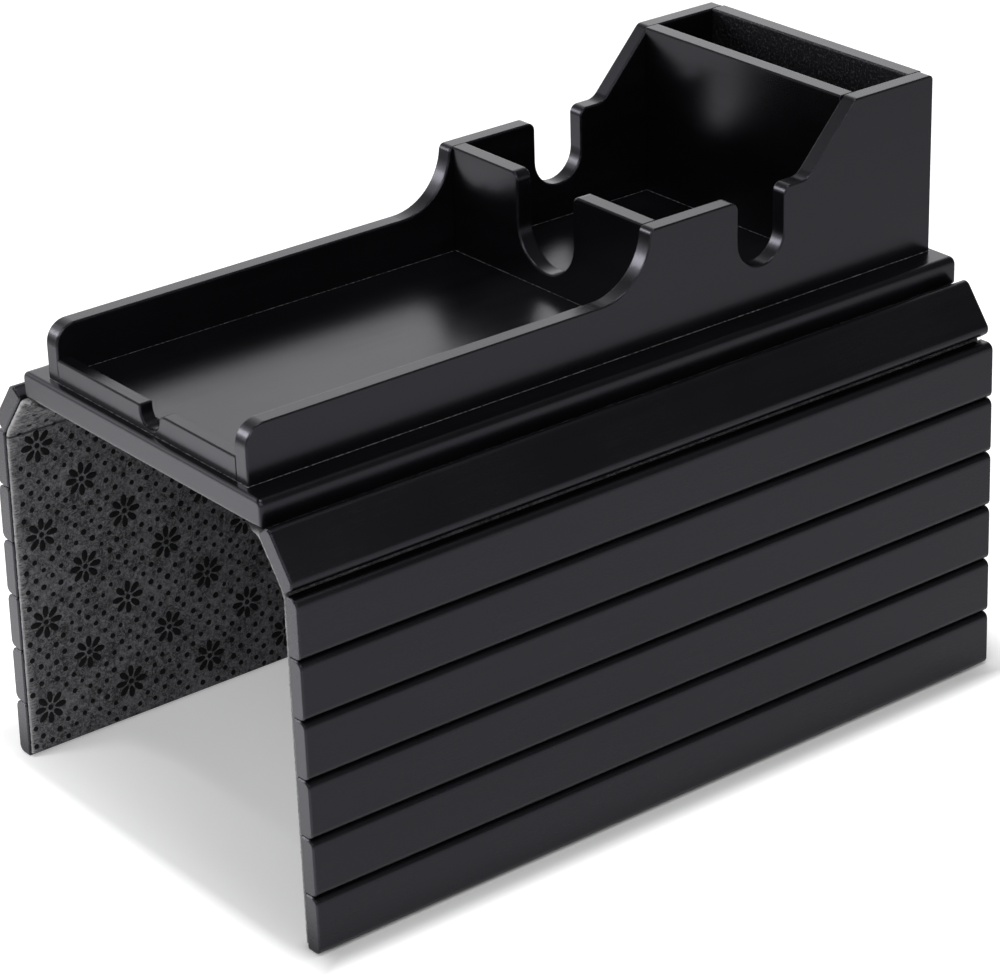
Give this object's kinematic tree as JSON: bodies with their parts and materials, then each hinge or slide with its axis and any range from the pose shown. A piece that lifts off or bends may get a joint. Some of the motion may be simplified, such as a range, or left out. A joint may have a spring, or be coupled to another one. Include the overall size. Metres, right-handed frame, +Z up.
{
  "type": "sofa arm tray",
  "caption": "Sofa arm tray: a divided wooden box on a board, with felt-hinged slat panels that hang down both sides of the arm.",
  "frame": {"origin": "on the ground under the middle of the tray, midway between the two hanging panels", "axes": "+X across the sofa arm to the right-hand panel, +Y along the arm from the phone tray to the rear slot, +Z up"},
  "size_m": [0.2048, 0.344, 0.2483],
  "materials": {
    "box_wood": "satin black lacquer",
    "slat_wood": "satin black lacquer, faint grain along the slat",
    "lining_felt": "needled felt with raised anti-slip dots"
  },
  "bodies": {
    "base": {"base_board": "box_wood", "tray_floor": "box_wood", "left_wall": "box_wood", "right_wall": "box_wood", "front_lip": "box_wood", "middle_divider": "box_wood", "slot_divider": "box_wood", "back_wall": "box_wood", "board_felt": "lining_felt"},
    "left_corner": {"left_corner_slat": "slat_wood", "left_corner_felt": "lining_felt"},
    "left_1": {"left_slat_1": "slat_wood", "left_felt_1": "lining_felt"},
    "left_2": {"left_slat_2": "slat_wood", "left_felt_2": "lining_felt"},
    "left_3": {"left_slat_3": "slat_wood", "left_felt_3": "lining_felt"},
    "left_4": {"left_slat_4": "slat_wood", "left_felt_4": "lining_felt"},
    "left_5": {"left_slat_5": "slat_wood", "left_felt_5": "lining_felt"},
    "left_6": {"left_slat_6": "slat_wood", "left_felt_6": "lining_felt"},
    "right_corner": {"right_corner_slat": "slat_wood", "right_corner_felt": "lining_felt"},
    "right_1": {"right_slat_1": "slat_wood", "right_felt_1": "lining_felt"},
    "right_2": {"right_slat_2": "slat_wood", "right_felt_2": "lining_felt"},
    "right_3": {"right_slat_3": "slat_wood", "right_felt_3": "lining_felt"},
    "right_4": {"right_slat_4": "slat_wood", "right_felt_4": "lining_felt"},
    "right_5": {"right_slat_5": "slat_wood", "right_felt_5": "lining_felt"},
    "right_6": {"right_slat_6": "slat_wood", "right_felt_6": "lining_felt"}
  },
  "joints": [
    {"name": "left_board_fold", "type": "hinge", "parent": "base", "child": "left_corner", "pos_m": [-0.0781, 0, 0.163], "axis": [0, 1, 0], "range_deg": [-36.7, 53.3]},
    {"name": "left_fold_1", "type": "hinge", "parent": "left_corner", "child": "left_1", "pos_m": [-0.09244, 0, 0.14376], "axis": [0, -1, 0], "range_deg": [-35.7, 9.3]},
    {"name": "left_fold_2", "type": "hinge", "parent": "left_1", "child": "left_2", "pos_m": [-0.09286, 0, 0.11976], "axis": [0, -1, 0], "range_deg": [0, 45]},
    {"name": "left_fold_3", "type": "hinge", "parent": "left_2", "child": "left_3", "pos_m": [-0.09328, 0, 0.09577], "axis": [0, -1, 0], "range_deg": [0, 45]},
    {"name": "left_fold_4", "type": "hinge", "parent": "left_3", "child": "left_4", "pos_m": [-0.0937, 0, 0.07177], "axis": [0, -1, 0], "range_deg": [0, 45]},
    {"name": "left_fold_5", "type": "hinge", "parent": "left_4", "child": "left_5", "pos_m": [-0.09412, 0, 0.04777], "axis": [0, -1, 0], "range_deg": [0, 45]},
    {"name": "left_fold_6", "type": "hinge", "parent": "left_5", "child": "left_6", "pos_m": [-0.09454, 0, 0.02378], "axis": [0, -1, 0], "range_deg": [0, 45]},
    {"name": "right_board_fold", "type": "hinge", "parent": "base", "child": "right_corner", "pos_m": [0.0781, 0, 0.163], "axis": [0, -1, 0], "range_deg": [-36.7, 53.3]},
    {"name": "right_fold_1", "type": "hinge", "parent": "right_corner", "child": "right_1", "pos_m": [0.09244, 0, 0.14376], "axis": [0, 1, 0], "range_deg": [-35.7, 9.3]},
    {"name": "right_fold_2", "type": "hinge", "parent": "right_1", "child": "right_2", "pos_m": [0.09286, 0, 0.11976], "axis": [0, 1, 0], "range_deg": [0, 45]},
    {"name": "right_fold_3", "type": "hinge", "parent": "right_2", "child": "right_3", "pos_m": [0.09328, 0, 0.09577], "axis": [0, 1, 0], "range_deg": [0, 45]},
    {"name": "right_fold_4", "type": "hinge", "parent": "right_3", "child": "right_4", "pos_m": [0.0937, 0, 0.07177], "axis": [0, 1, 0], "range_deg": [0, 45]},
    {"name": "right_fold_5", "type": "hinge", "parent": "right_4", "child": "right_5", "pos_m": [0.09412, 0, 0.04777], "axis": [0, 1, 0], "range_deg": [0, 45]},
    {"name": "right_fold_6", "type": "hinge", "parent": "right_5", "child": "right_6", "pos_m": [0.09454, 0, 0.02378], "axis": [0, 1, 0], "range_deg": [0, 45]}
  ]
}
